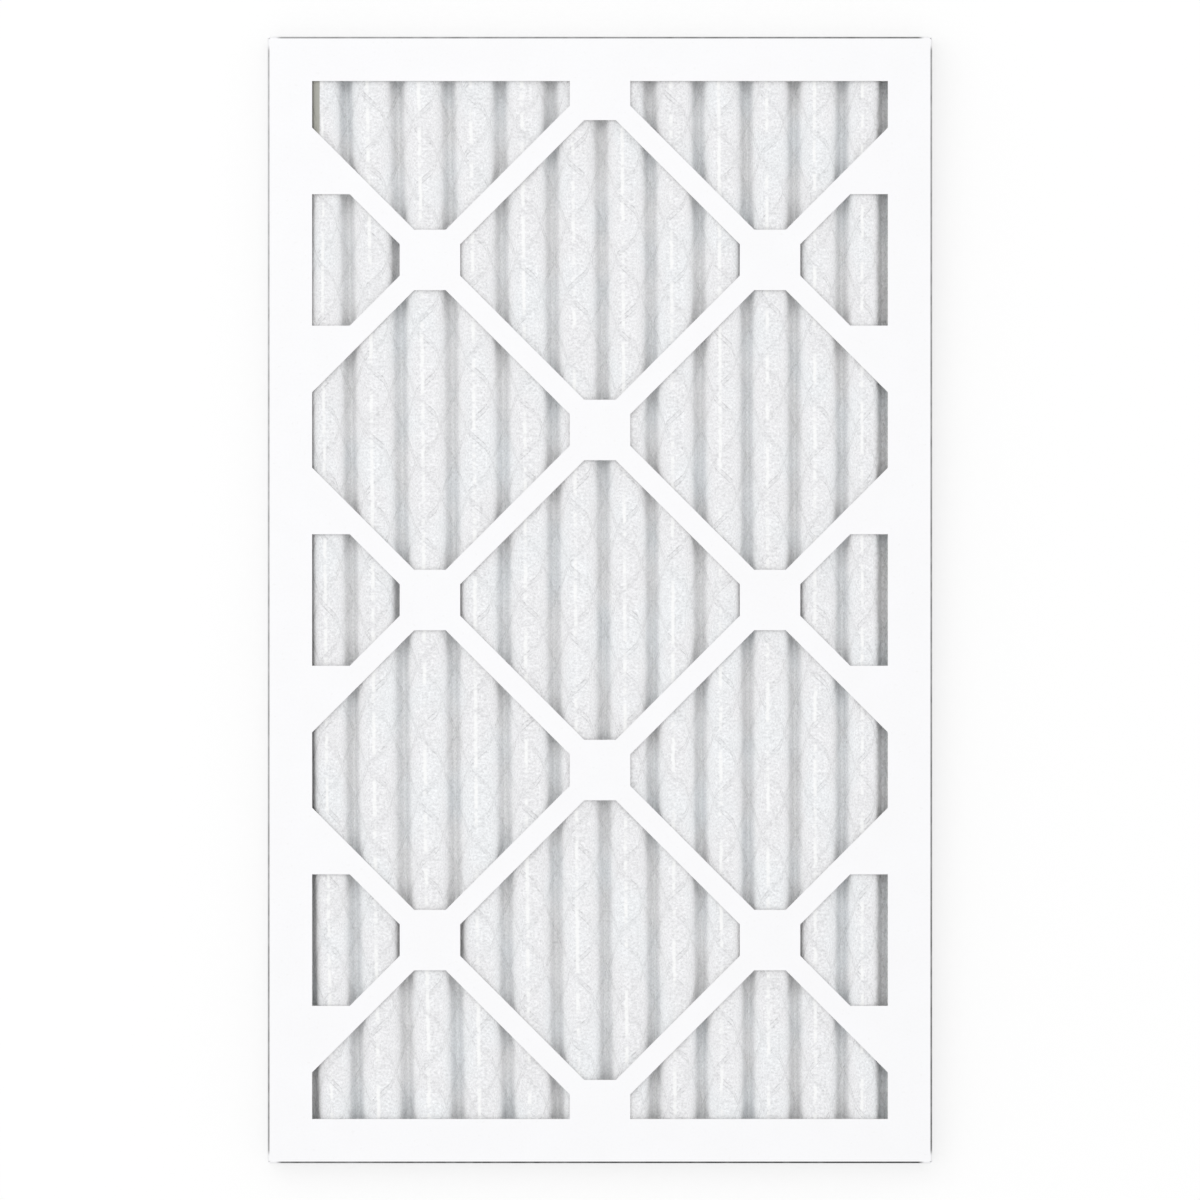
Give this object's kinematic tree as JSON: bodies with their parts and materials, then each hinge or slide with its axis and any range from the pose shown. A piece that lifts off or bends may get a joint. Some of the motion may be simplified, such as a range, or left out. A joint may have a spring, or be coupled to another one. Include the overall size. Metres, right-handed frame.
{
  "type": "pleated panel air filter",
  "caption": "Rectangular panel air filter with a pleated fibre sheet on a metal grid, held between two board frames with diagonal supports.",
  "frame": {"origin": "middle of the rear face, on which the filter lies", "axes": "+Z through the filter towards the front face with the media's crests, +Y along the pleats and the longer side, +X across the pleats"},
  "size_m": [0.2922, 0.4952, 0.0191],
  "materials": {
    "board": "clay-coated beverage board, white, smooth and matt",
    "media": "carded synthetic nonwoven, pale cool grey, lofty and matt",
    "grid": "galvanised expanded steel, dull"
  },
  "bodies": {
    "root": {"front_frame": "board", "rear_frame": "board", "media_pack": "media", "support_grid": "grid"}
  },
  "joints": []
}
